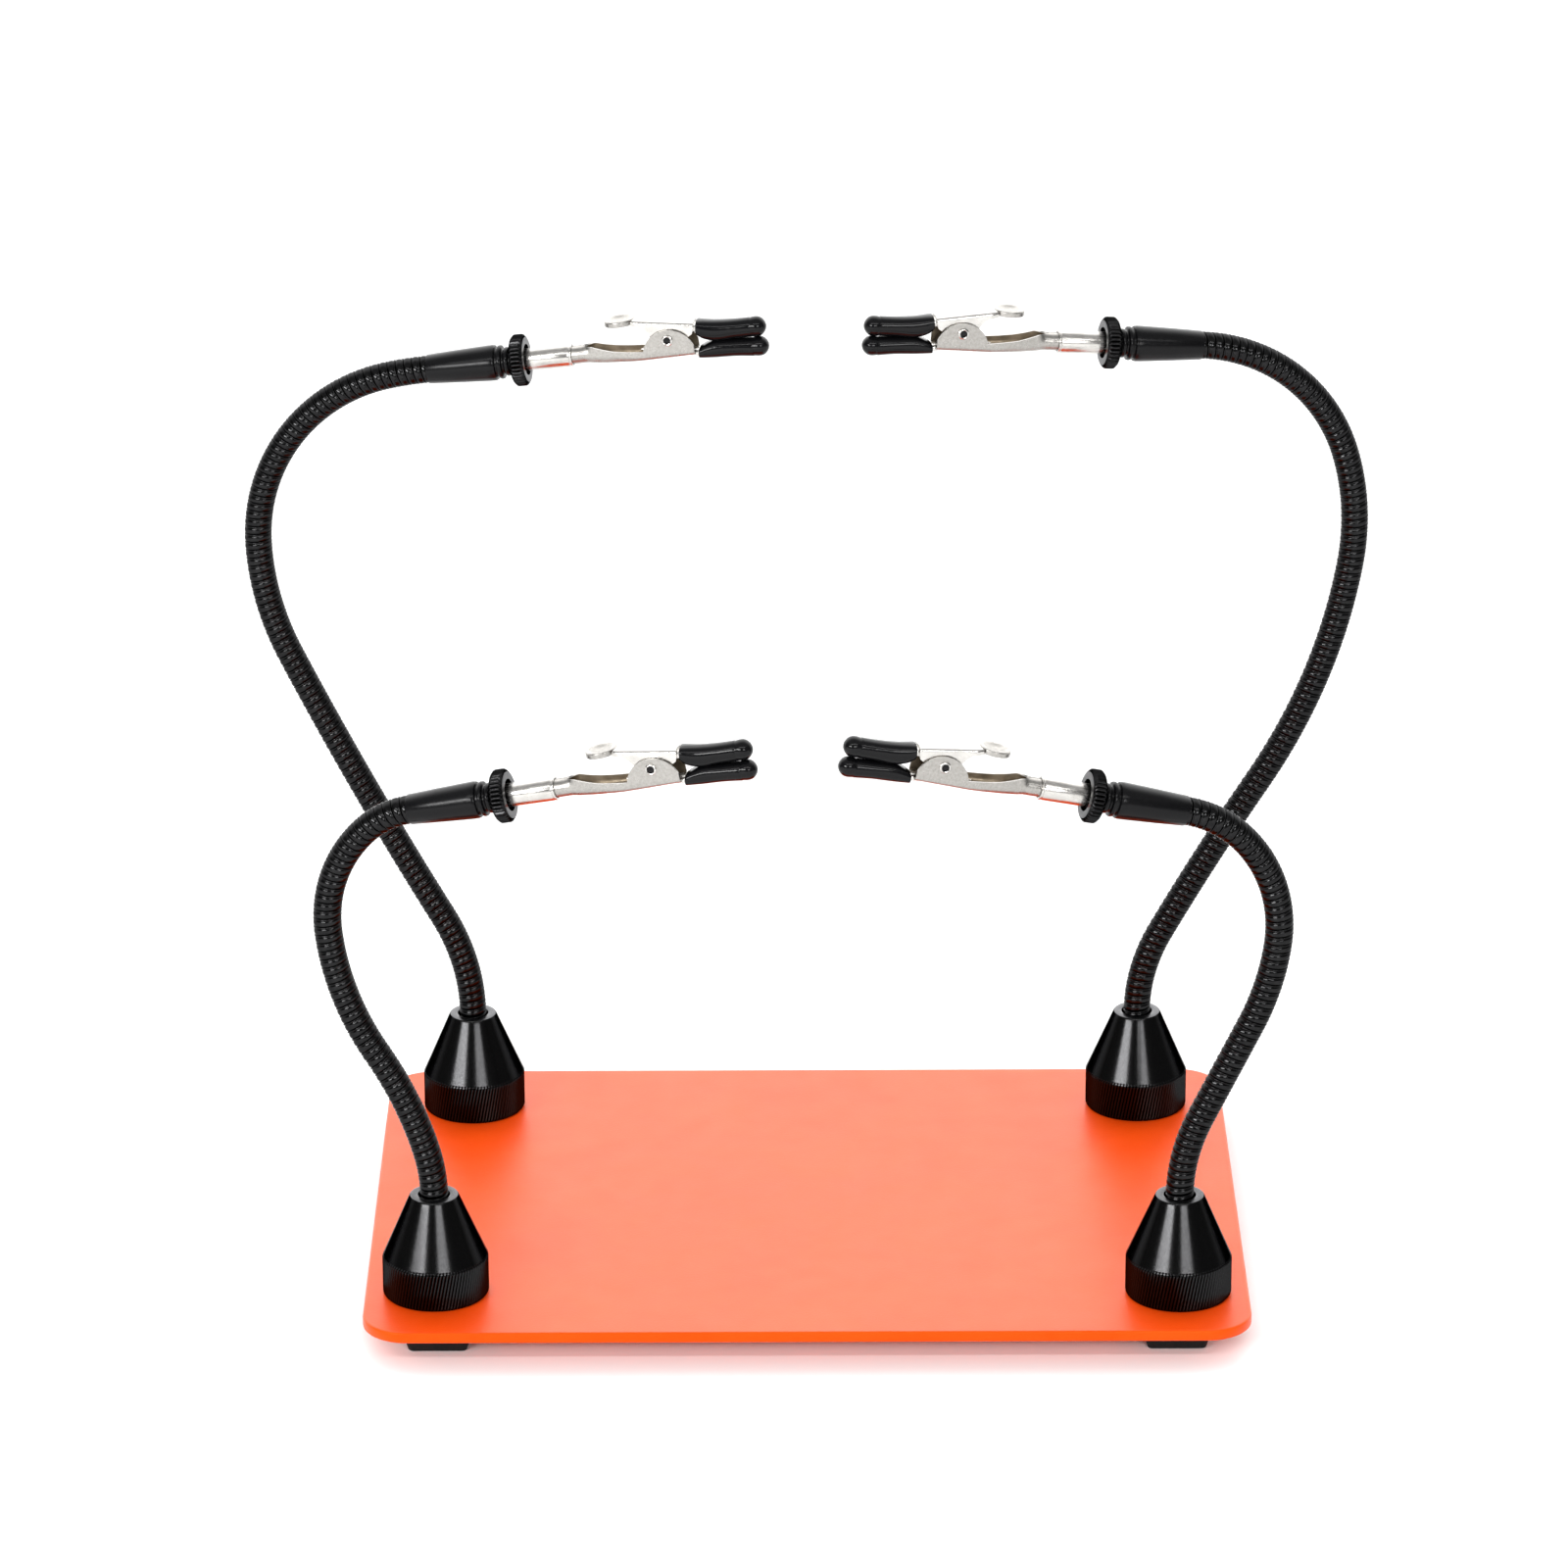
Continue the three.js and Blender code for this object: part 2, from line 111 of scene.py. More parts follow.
# softboxes: name, azimuth, elevation, width, height and power, all at one distance from what they look at
SOFTBOXES = [
    ("left_box", -39, 20, 1.2, 0.36, 36),
    ("right_box", 18, 20, 0.95, 0.38, 15.5),
    ("high_strip", 0, 46, 3.4, 0.14, 18),
]
SOFTBOX_DISTANCE, AIM_HEIGHT = 2.4, 0.12
OVERHEAD = {"strength": 0.75, "width": 110, "height": 2}
BACKDROP = {"From Min": 0.0, "From Max": 0.75, "To Min": 0.22, "To Max": 2.9}


def add_camera():
    data = bpy.data.cameras.new("camera")
    data.lens, data.sensor_width = CAMERA["lens"], CAMERA["sensor"]
    data.clip_start, data.clip_end = VIEW_NEAR, VIEW_FAR
    camera = bpy.data.objects.new("camera", data)
    camera.matrix_world = (
        Matrix.Translation(Vector(CAMERA["place"]) * MM)
        @ Matrix.Rotation(math.radians(90 - CAMERA["tilt"]), 4, "X")
        @ Matrix.Rotation(math.radians(CAMERA["roll"]), 4, "Z")
    )
    scene.collection.objects.link(camera)
    scene.camera = camera


def add_softbox(name, azimuth, elevation, width, height, power):
    """An area light that looks at the object's middle. Azimuth 0 is over the camera, 90 on the right."""
    a, e = math.radians(azimuth), math.radians(elevation)
    away = Vector((math.sin(a) * math.cos(e), -math.cos(a) * math.cos(e), math.sin(e)))
    data = bpy.data.lights.new(name, "AREA")
    data.shape, data.size, data.size_y = "RECTANGLE", width, height
    data.energy = power
    light = bpy.data.objects.new(name, data)
    light.location = away * SOFTBOX_DISTANCE + Vector((0, 0, AIM_HEIGHT))
    light.rotation_mode = "QUATERNION"
    light.rotation_quaternion = away.to_track_quat("Z", "Y")
    scene.collection.objects.link(light)


def add_world():
    """A dim studio with a bright backdrop behind the object."""
    world = bpy.data.worlds.new("studio")
    scene.world = world
    world.use_nodes = True
    tree = world.node_tree
    tree.nodes.clear()
    out = tree.nodes.new("ShaderNodeOutputWorld")
    back = tree.nodes.new("ShaderNodeBackground")
    where = tree.nodes.new("ShaderNodeTexCoord")
    split = tree.nodes.new("ShaderNodeSeparateXYZ")
    ramp = tree.nodes.new("ShaderNodeMapRange")
    ramp.interpolation_type = "SMOOTHSTEP"
    for socket, value in BACKDROP.items():
        ramp.inputs[socket].default_value = value
    tree.links.new(where.outputs["Generated"], split.inputs[0])
    tree.links.new(split.outputs["Y"], ramp.inputs["Value"])
    tree.links.new(ramp.outputs["Result"], back.inputs["Strength"])
    back.inputs["Color"].default_value = (1, 1, 1, 1)
    tree.links.new(back.outputs[0], out.inputs[0])


def add_overhead():
    """A broad even light from straight above, which is the same all over the floor."""
    data = bpy.data.lights.new("overhead", "SUN")
    data.energy, data.angle = OVERHEAD["strength"], math.radians(OVERHEAD["width"])
    light = bpy.data.objects.new("overhead", data)
    light.location = (0, 0, OVERHEAD["height"])
    scene.collection.objects.link(light)


def add_floor():
    """A pale floor, wide enough to fill the view of a low camera."""
    half = FLOOR_HALF
    mesh = bpy.data.meshes.new("floor")
    mesh.from_pydata(
        [(-half, -half, 0), (half, -half, 0), (half, half, 0), (-half, half, 0)], [], [(0, 1, 2, 3)]
    )
    floor = bpy.data.objects.new("floor", mesh)
    paper = Finish("pale_floor", (0.93, 0.93, 0.93), 0.7)
    mesh.materials.append(paper.material)
    scene.collection.objects.link(floor)


# ---------- materials ----------

class Finish:
    """A principled material under construction: textures in the object's own space, in metres."""

    def __init__(self, name, colour, roughness, metallic=0.0, **inputs):
        self.material = bpy.data.materials.new(name)
        self.material.use_nodes = True
        self.tree = self.material.node_tree
        self.shader = self.tree.nodes["Principled BSDF"]
        self.where = self.tree.nodes.new("ShaderNodeTexCoord").outputs["Object"]
        self.set("Base Color", (*colour, 1))
        self.set("Roughness", roughness)
        self.set("Metallic", metallic)
        for key, value in inputs.items():
            self.set(key.replace("_", " "), value)
        self.normal = None

    def set(self, key, value):
        self.shader.inputs[key].default_value = value

    def scaled(self, scale):
        node = self.tree.nodes.new("ShaderNodeMapping")
        node.inputs["Scale"].default_value = scale
        self.tree.links.new(self.where, node.inputs["Vector"])
        return node.outputs[0]

    def noise(self, scale, detail=3.0, rough=0.5, stretch=None):
        node = self.tree.nodes.new("ShaderNodeTexNoise")
        node.inputs["Scale"].default_value = scale
        node.inputs["Detail"].default_value = detail
        node.inputs["Roughness"].default_value = rough
        self.tree.links.new(self.scaled(stretch) if stretch else self.where, node.inputs["Vector"])
        return node.outputs["Fac"]

    def remap(self, value, low, high, to_low, to_high):
        node = self.tree.nodes.new("ShaderNodeMapRange")
        for key, each in (("From Min", low), ("From Max", high), ("To Min", to_low), ("To Max", to_high)):
            node.inputs[key].default_value = each
        self.tree.links.new(value, node.inputs["Value"])
        return node.outputs["Result"]

    def roughness(self, value, low, high):
        self.tree.links.new(self.remap(value, 0.3, 0.7, low, high), self.shader.inputs["Roughness"])

    def colours(self, value, first, second, low=0.35, high=0.65):
        node = self.tree.nodes.new("ShaderNodeMix")
        node.data_type = "RGBA"
        node.inputs["A"].default_value = (*first, 1)
        node.inputs["B"].default_value = (*second, 1)
        self.tree.links.new(self.remap(value, low, high, 0, 1), node.inputs["Factor"])
        self.tree.links.new(node.outputs["Result"], self.shader.inputs["Base Color"])

    def bump(self, height, distance, strength=1.0):
        node = self.tree.nodes.new("ShaderNodeBump")
        node.inputs["Strength"].default_value = strength
        node.inputs["Distance"].default_value = distance
        self.tree.links.new(height, node.inputs["Height"])
        if self.normal:
            self.tree.links.new(self.normal, node.inputs["Normal"])
        self.normal = node.outputs["Normal"]
        self.tree.links.new(self.normal, self.shader.inputs["Normal"])


def powder_coat():
    made = Finish(
        "orange_powder_coat", (0.80, 0.065, 0.003), 0.36, IOR=1.42, Specular_Tint=(1, 0.45, 0.12, 1)
    )
    made.colours(made.noise(40, 6, 0.65), (0.765, 0.06, 0.0022), (0.835, 0.07, 0.0038))
    made.roughness(made.noise(90, 4), 0.36, 0.4)
    made.bump(made.noise(1500, 2, 0.6), 0.00005, 0.6)
    made.bump(made.noise(5200, 2, 0.7), 0.000012, 0.5)
    return made.material


def rubber():
    made = Finish("moulded_rubber", (0.006, 0.006, 0.006), 0.6, IOR=1.3)
    made.roughness(made.noise(400, 3), 0.5, 0.72)
    made.bump(made.noise(3500, 3, 0.6), 0.00004, 0.6)
    return made.material


def anodised():
    made = Finish("black_anodised", (0.018, 0.018, 0.0185), 0.17, 1.0, Specular_Tint=(0.2, 0.2, 0.2, 1))
    made.colours(made.noise(2600, 2, 0.8), (0.015, 0.015, 0.0155), (0.022, 0.022, 0.0225))
    made.roughness(made.noise(1400, 4, 0.7), 0.13, 0.22)
    made.bump(made.noise(3800, 3, 0.7), 0.000012, 0.5)
    made.bump(made.noise(1.0, 2, 0.6, (300, 300, 9000)), 0.000005, 0.35)
    return made.material


def turned_face():
    """The flat ends of the bases and nuts, where the coat is thin over the turning marks."""
    made = Finish("turned_face", (0.055, 0.055, 0.058), 0.3, 1.0)
    made.colours(made.noise(2200, 2, 0.8), (0.04, 0.04, 0.043), (0.07, 0.07, 0.074))
    made.roughness(made.noise(1400, 4, 0.7), 0.24, 0.36)
    made.bump(made.noise(2600, 3, 0.7), 0.000012, 0.5)
    return made.material


def gooseneck_coat():
    made = Finish("gloss_black_coat", (0.019, 0.019, 0.0195), 0.14, 1.0, Specular_Tint=(0.6, 0.6, 0.6, 1))
    made.colours(made.noise(500, 3), (0.016, 0.016, 0.0165), (0.023, 0.023, 0.0235))
    made.roughness(made.noise(600, 3), 0.10, 0.2)
    made.bump(made.noise(900, 3, 0.6), 0.00004, 0.5)
    return made.material


def sleeve_coat():
    made = Finish("satin_black_sleeve", (0.003, 0.003, 0.0035), 0.22, IOR=1.25)
    made.roughness(made.noise(1200, 4, 0.7), 0.18, 0.28)
    made.bump(made.noise(3000, 3, 0.7), 0.000015, 0.5)
    return made.material


def nickel():
    made = Finish("bright_nickel", (0.54, 0.525, 0.5), 0.17, 1.0)
    made.colours(made.noise(260, 4), (0.58, 0.565, 0.54), (0.49, 0.475, 0.45))
    made.roughness(made.noise(1.0, 4, 0.7, (240, 2600, 2600)), 0.16, 0.32)
    made.bump(made.noise(1.0, 3, 0.6, (500, 5200, 5200)), 0.000006, 0.35)
    return made.material


def satin_nickel():
    """The stamped parts are duller than the rolled sleeve, with a fine grain."""
    made = Finish("satin_nickel", (0.35, 0.338, 0.317), 0.3, 1.0)
    made.colours(made.noise(1500, 3, 0.7), (0.385, 0.37, 0.35), (0.31, 0.3, 0.28))
    made.roughness(made.noise(1100, 4, 0.7), 0.24, 0.4)
    made.bump(made.noise(2400, 3, 0.7), 0.000012, 0.5)
    return made.material


# the inner side of the clip's sheets: a darker, warm brown copy of the nickel, painted shade for the inside
# of the channels
def shaded_inside_finish():
    made = Finish("painted_shade_inside", (0.31, 0.255, 0.185), 0.5, 1.0)
    made.colours(made.noise(300, 4), (0.35, 0.29, 0.215), (0.24, 0.195, 0.14))
    made.roughness(made.noise(900, 3), 0.42, 0.6)
    made.bump(made.noise(1800, 3), 0.000015, 0.4)
    return made.material


def magnet_plate():
    made = Finish("magnet_nickel_plate", (0.60, 0.60, 0.61), 0.2, 1.0)
    made.roughness(made.noise(500, 4), 0.15, 0.32)
    made.bump(made.noise(1600, 3), 0.00001, 0.4)
    return made.material


def vinyl():
    made = Finish("dipped_vinyl", (0.003, 0.003, 0.0035), 0.12, IOR=1.27)
    made.roughness(made.noise(700, 3), 0.08, 0.18)
    made.bump(made.noise(260, 2), 0.00012, 0.5)
    made.bump(made.noise(1400, 2), 0.000015, 0.4)
    return made.material


FINISHES = {
    "orange_coat": powder_coat(), "rubber": rubber(), "black_metal": anodised(),
    "black_gooseneck": gooseneck_coat(), "black_sleeve": sleeve_coat(), "nickel": nickel(),
    "magnet_nickel": magnet_plate(), "black_vinyl": vinyl(),
}
SATIN, SHADED_INSIDE, TURNED = satin_nickel(), shaded_inside_finish(), turned_face()


# ---------- shapes: (points in mm, faces) ----------

def grid(points, wrap=True):
    """Rows of points joined by four-sided faces; wrap joins each row's last point to its first."""
    points = np.asarray(points, float)
    rows, columns = points.shape[:2]
    run = columns if wrap else columns - 1
    faces = []
    for r in range(rows - 1):
        for c in range(run):
            here, beside = r * columns + c, r * columns + (c + 1) % columns
            faces.append((here, beside, beside + columns, here + columns))
    return points.reshape(-1, 3), faces


def capped(points):
    """A closed grid of rings with a flat face over its first and its last ring."""
    flat, faces = grid(points)
    rows, columns = np.asarray(points).shape[:2]
    faces.append(tuple(reversed(range(columns))))
    faces.append(tuple(range((rows - 1) * columns, rows * columns)))
    return flat, faces


def turned(profile, columns, axis="X", limit=None, twist=None):
    """Pairs of along and radius turned about an axis. limit(along, angle) may cut the radius, as knurling
    does, and twist(along) turns each ring.
    """
    along = np.array([p[0] for p in profile], float)[:, None]
    radius = np.array([p[1] for p in profile], float)[:, None]
    angle = np.linspace(0, 2 * math.pi, columns, endpoint=False)[None, :]
    radius = np.broadcast_to(radius, (len(profile), columns))
    if limit is not None:
        radius = np.minimum(radius, limit(along, angle))
    angle = angle + (twist(along) if twist is not None else 0 * along)
    a, b = radius * np.cos(angle), radius * np.sin(angle)
    along = np.broadcast_to(along, a.shape)
    order = {"X": (along, a, b), "Y": (b, along, a), "Z": (a, b, along)}[axis]
    return grid(np.stack(order, 2))


def rounded_square(half_x, half_y, corner, z, steps=8):
    """One ring of a rounded rectangle, anticlockwise from above."""
    ring = []
    for quarter, (sx, sy) in enumerate([(1, 1), (-1, 1), (-1, -1), (1, -1)]):
        for i in range(steps + 1):
            angle = math.radians(90 * (quarter + i / steps))
            ring.append((
                sx * (half_x - corner) + corner * math.cos(angle),
                sy * (half_y - corner) + corner * math.sin(angle),
                z,
            ))
    return ring


def tube(path, radius, columns):
    """A round wire along a line of points, closed at both ends."""
    path = np.asarray(path, float)
    tangents = np.gradient(path, axis=0)
    tangents /= np.linalg.norm(tangents, axis=1)[:, None]
    side = np.cross(tangents[0], (0, 1, 0.3))
    rings = []
    for point, tangent in zip(path, tangents):
        side = side - tangent * (side @ tangent)
        side /= np.linalg.norm(side)
        other = np.cross(tangent, side)
        angle = np.linspace(0, 2 * math.pi, columns, endpoint=False)[:, None]
        rings.append(point + radius * (np.cos(angle) * side + np.sin(angle) * other))
    return capped(np.array(rings))


# ---------- making pieces ----------

def make(name, shape, place, slot, sharp=32, closed=True, inside=False, finish=None):
    """A mesh object from a shape, standing at place, a frame in metres."""
    points, faces = shape
    mesh = bpy.data.meshes.new(name)
    mesh.from_pydata((points * MM).tolist(), [], faces)
    bm = bmesh.new()
    bm.from_mesh(mesh)
    bmesh.ops.remove_doubles(bm, verts=bm.verts, dist=1e-6)
    if closed:
        bmesh.ops.recalc_face_normals(bm, faces=bm.faces)
    bm.to_mesh(mesh)
    bm.free()
    mesh.polygons.foreach_set("use_smooth", [True] * len(mesh.polygons))
    mesh.set_sharp_from_angle(angle=math.radians(sharp))
    mesh.materials.append(finish or FINISHES[slot])
    if inside:
        mesh.materials.append(SHADED_INSIDE)
    piece = bpy.data.objects.new(name, mesh)
    piece.matrix_world = place
    scene.collection.objects.link(piece)
    return piece


def thicken(piece, thickness, edge=0.1):
    """Gives a sheet its thickness, on the inner side, and softens its cut edges."""
    solid = piece.modifiers.new("thickness", "SOLIDIFY")
    solid.thickness, solid.offset, solid.use_even_offset = thickness * MM, -1, True
    # the inner side takes the painted-shade finish
    solid.material_offset = 1
    bevel = piece.modifiers.new("edges", "BEVEL")
    bevel.width, bevel.segments, bevel.limit_method = edge * MM, 2, "ANGLE"
    bevel.angle_limit, bevel.harden_normals = math.radians(50), True


def turn_faces(piece, axis, level):
    """Gives the turned finish to a piece's flat end, the faces that lie at a level along an axis."""
    piece.data.materials.append(TURNED)
    for face in piece.data.polygons:
        if face.center[axis] > (level - 0.05) * MM:
            face.material_index = 1


def riding(piece, body, *nodes):
    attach(piece, body)
    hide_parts(*nodes)


# ---------- plate and feet ----------

def plate_shape():
    half_x, half_y = PLATE["width"] / 2, PLATE["depth"] / 2
    bottom, top, edge = PLATE["bottom"], PLATE["top"], 0.55
    steps = [(0.9, 0), (edge, 0)]
    steps += [(edge * (1 - math.sin(a)), edge * (1 - math.cos(a))) for a in np.radians([30, 60, 90])]
    low = [(inset, bottom + rise) for inset, rise in steps]
    high = [(inset, top - rise) for inset, rise in reversed(steps)]
    rings = [
        rounded_square(half_x - inset, half_y - inset, PLATE["corner"] - inset, z, 16)
        for inset, z in low + high
    ]
    return capped(rings)


def foot_shape():
    levels = [(-1.0, 0), (-0.35, 0.02), (-0.1, 0.15), (0, 0.5), (0, 3), (0, 6)]
    levels += [(-0.05, 6.5), (-0.3, 6.8), (-0.4, 7)]
    rings = []
    for outset, z in levels:
        half = (FOOT["bottom"] + (FOOT["top"] - FOOT["bottom"]) * z / FOOT["height"]) / 2 + outset
        rings.append(rounded_square(half, half, FOOT["corner"], z, 6))
    return capped(rings)


def add_stand():
    riding(make("steel_plate", plate_shape(), Matrix(), "orange_coat"), "stand", "plate")
    for row, sy in (("front", -1), ("back", 1)):
        for column, sx in (("left", -1), ("right", 1)):
            place = Matrix.Translation(Vector((sx * FOOT["x"], sy * FOOT["y"], 0)) * MM)
            pad = make(f"rubber_pad_{row}_{column}", foot_shape(), place, "rubber")
            riding(pad, "stand", f"foot_{row}_{column}")


# ---------- magnetic base ----------

# the knurl leans by so many teeth over its height, and runs out a little way up the cone
KNURL = {"teeth": 96, "samples": 4, "depth": 0.42, "lean": 2.2, "runout": 1.6}
UNCUT = 99.0


def base_shape():
    radius, start = BASE["radius"], BASE["knurl"]
    slope = (radius - BASE["top"]) / (BASE["height"] - 0.3 - start)
    pitch = 2 * math.pi / KNURL["teeth"]

    def cone(z):
        return radius - slope * (z - start)

    def teeth(along, angle):
        phase = (angle / pitch) % 1
        wave = np.interp(phase, [0, 0.25, 0.5, 0.75, 1], [0, 0.72, 1, 0.72, 0])
        cut = radius - KNURL["depth"] * (1 - wave)
        return np.where(along < start + KNURL["runout"], cut, UNCUT)

    def twist(along):
        return KNURL["lean"] * pitch * np.clip(along, 0, start + KNURL["runout"]) / start

    profile = [(5.6, 0), (5.6, 12.6), (5.4, 12.8), (0.3, 12.8)]
    profile += [(0.08, 13), (0.08, 14.3), (0.2, 14.6), (0.7, 15)]
    profile += [(z, radius) for z in (1.2, 3, 5, 7, 9, 10.4, 11)]
    profile += [(z, cone(z)) for z in np.arange(start + 0.1, start + 1.5, 0.1)]
    profile += [(z, cone(z)) for z in (13, 16, 20, 24, 28, 29.1)]
    profile += [(29.5, 7.07), (29.75, 6.95), (29.93, 6.78), (30, 6.5), (30, 5.6), (30, 4.75), (29.93, 4.58)]
    profile += [(29.75, 4.48), (29.4, 4.45), (22, 4.45), (15, 4.45), (15, 0)]
    return turned(profile, KNURL["teeth"] * KNURL["samples"], "Z", teeth, twist)


def magnet_shape():
    profile = [
        (5.3, 0), (5.3, 11.8), (5.15, 12.2), (4.8, 12.5), (0.6, 12.5), (0.2, 12.3), (0.05, 11.9), (0.05, 0),
    ]
    return turned(profile, 72, "Z")


# ---------- gooseneck ----------

# one turn of the winding, as shares of its pitch and mm from the neck's radius: a smooth crown, then the
# thin lip where the next turn tucks under it
TURN = [
    (0.00, -0.38), (0.03, -0.21), (0.09, -0.11), (0.18, -0.04), (0.30, 0.0), (0.42, -0.01), (0.54, -0.05),
    (0.64, -0.12), (0.70, -0.24), (0.74, -0.28), (0.775, -0.12), (0.815, -0.02), (0.86, 0.02), (0.905, -0.03),
    (0.945, -0.14), (0.975, -0.27),
]


def neck_at(bends, along):
    """Where a gooseneck's centre line is after each length along it, in the arm's plane, and its lean."""
    along = np.asarray(along, float)
    left = np.maximum(along, 0)
    x, z, lean = 0 * left, BASE["height"] + np.minimum(along, 0), 0 * left
    for length, bend in bends:
        run = np.minimum(left, length)
        turn = math.radians(bend) * run / length
        bent = np.abs(turn) > 1e-9
        radius = np.where(bent, run / np.where(bent, turn, 1), 0)
        x = x + np.where(bent, radius * (np.cos(lean) - np.cos(lean + turn)), run * np.sin(lean))
        z = z + np.where(bent, radius * (np.sin(lean + turn) - np.sin(lean)), run * np.cos(lean))
        lean = lean + turn
        left = left - run
    return x, z, lean


def neck_shape(bends, start, turns):
    """A length of interlocking winding: each row runs round the neck and climbs one pitch as it goes."""
    pitch, columns = NECK["pitch"], NECK["columns"]
    rows = [(k + u, dr) for k in range(turns) for u, dr in TURN] + [(turns, TURN[0][1])]
    climb = np.linspace(0, 1, columns + 1)[None, :]
    along = start + pitch * (np.array([r[0] for r in rows])[:, None] + climb)
    radius = NECK["radius"] + np.array([r[1] for r in rows])[:, None]
    x, z, lean = neck_at(bends, along)
    angle = 2 * math.pi * climb
    out = radius * np.cos(angle)
    side = np.broadcast_to(radius * np.sin(angle), x.shape)
    return grid(np.stack([x + out * np.cos(lean), side, z - out * np.sin(lean)], 2), wrap=False)


# ---------- arm end: ferrule and knurled nut ----------

def ferrule_shape():
    profile = [
        (0, 0), (0, 3.95), (0.08, 4.12), (0.35, 4.24), (9, 4.72), (18.2, 5.18), (19.5, 5.2), (20.1, 5.12),
        (20.4, 4.95), (20.5, 4.7), (20.5, 4.15), (21.15, 4.15), (21.2, 4.5), (21.35, 4.78), (21.65, 4.9),
        (22.05, 4.9), (22.35, 4.78), (22.5, 4.5), (22.55, 3.75), (22.9, 3.6), (23.1, 3.75), (23.25, 4.05),
        (23.55, 4.22), (24.0, 4.22), (24.3, 4.05), (24.45, 3.7), (24.6, 3.45), (27.9, 3.45), (27.9, 1.7),
        (40.6, 1.7), (41, 1.4), (41, 0),
    ]
    return turned(profile, 72)


def nut_shape():
    teeth, samples, radius, depth = 36, 8, 7.5, 0.5
    wave = [0, 0.3, 0.65, 0.92, 1, 0.92, 0.65, 0.3, 0]
    pitch = 2 * math.pi / teeth

    def cut(along, angle):
        phase = (angle / pitch) % 1
        return radius - depth * (1 - np.interp(phase, np.linspace(0, 1, samples + 1), wave)) + 0 * along

    back, front = NUT_BACK, NUT_FRONT
    profile = [
        (back, 3.8), (back, 6.5), (back + 0.15, 6.85), (back + 0.5, 7.2), (back + 0.8, radius),
        (back + 1.1, radius), (front - 1.1, radius), (front - 0.8, radius), (front - 0.5, 7.2),
        (front - 0.15, 6.8), (front, 6.5), (front, 5.6), (front, 4.5), (front - 0.15, 4.3),
        (front - 1.75, 4.3), (front - 1.9, 4.2), (front - 1.9, 3.8), (back, 3.8),
    ]
    return turned(profile, teeth * samples, "X", cut)


# ---------- alligator clip ----------

def socket_shape():
    profile = [
        (-0.6, 2.9), (-0.6, 3.12), (-0.52, 3.25), (-0.35, 3.3), (6, 3.3), (12.55, 3.3), (12.7, 3.24),
        (12.8, 3.16), (12.9, 3.16), (13.0, 3.26), (13.15, 3.35), (13.35, 3.35), (13.52, 3.25), (13.6, 3.05),
        (13.6, 2.75), (13.0, 2.72), (6, 2.72), (-0.4, 2.72), (-0.6, 2.9),
    ]
    return turned(profile, 64)


def u_section(half, low, high, corner, steps=7):
    """A channel's outside, as a line from rim to rim round its lowest point."""
    left = [(-half, z) for z in np.linspace(high, low + corner, 7)]
    arc = [
        (-half + corner * (1 - math.sin(a)), low + corner * (1 - math.cos(a)))
        for a in np.linspace(math.pi / 2, 0, steps)
    ]
    near = left[:-1] + arc
    flat = [(y, low) for y in np.linspace(near[-1][0], -near[-1][0], 6)[1:-1]]
    return near + flat + [(-y, z) for y, z in reversed(near)]


def lower_jaw_shape():
    """The rolled barrel opens into a trough, whose sides rise into the round ears."""
    pivot, side = PIVOT[0], EAR["half"]
    barrel_radius, barrel_wrap, opening, opened = 2.6, math.radians(176), 15.5, 5
    ear_start = pivot - math.sqrt(EAR["radius"] ** 2 - (EAR["foot"] - EAR["up"]) ** 2)
    xs = np.unique(np.concatenate([
        np.arange(9, 16, 1.0), np.arange(16, 24, 0.35), np.arange(24, ear_start, 0.9),
        pivot - EAR["radius"] * np.cos(np.radians(np.linspace(13.5, 161.5, 42))), [ear_start - 0.02],
    ]))
    rings = []
    for x in xs:
        half = np.interp(x, [16, 18, 22, 26, 34, 50], [2.5, 2.6, 3.05, 3.7, side, side])
        low = np.interp(x, [16, 24, 31, 49.8], [-2.6, -2.9, -2.9, -2.4])
        reach = EAR["radius"] ** 2 - (x - pivot) ** 2
        rim = np.interp(x, [17, 20, 23, 26, 30, 35.5], [2.6, 2.35, 1.45, 0.75, 0.25, EAR["foot"]])
        if x >= ear_start:
            rim = max(EAR["foot"], EAR["up"] + math.sqrt(max(reach, 0)))
        corner = np.interp(x, [16, 26, 34, 50], [2.45, 2.2, 1.3, 1.0])
        channel = np.array(u_section(half, low, rim, min(corner, half - 0.05), 7))
        t = np.linspace(-1, 1, len(channel)) * barrel_wrap
        barrel = np.stack([barrel_radius * np.sin(t), -barrel_radius * np.cos(t)], 1)
        open_up = np.clip((x - opening) / opened, 0, 1)
        open_up = open_up * open_up * (3 - 2 * open_up)
        section = barrel * (1 - open_up) + channel * open_up
        rings.append([(x, y, z) for y, z in section])
    return grid(np.array(rings), wrap=False)


def nose_shape(line, half_height, half_width):
    """The jaw's plain tip, which runs on into its boot: an oval, a little too big, cut flat on its sides."""
    too_wide, too_high = 1.15, 1.1
    rings = []
    for x, z, share in line:
        rings.append([
            (x, half_width * share * math.cos(a) * too_wide, z + half_height * share * math.sin(a) * too_high)
            for a in np.linspace(0, 2 * math.pi, 24, endpoint=False)
        ])
    rings = np.array(rings)
    centre = rings.mean(axis=1, keepdims=True)
    size = np.array([1, half_width, half_height])
    rings = centre + np.clip(rings - centre, -size, size)
    return capped(rings)


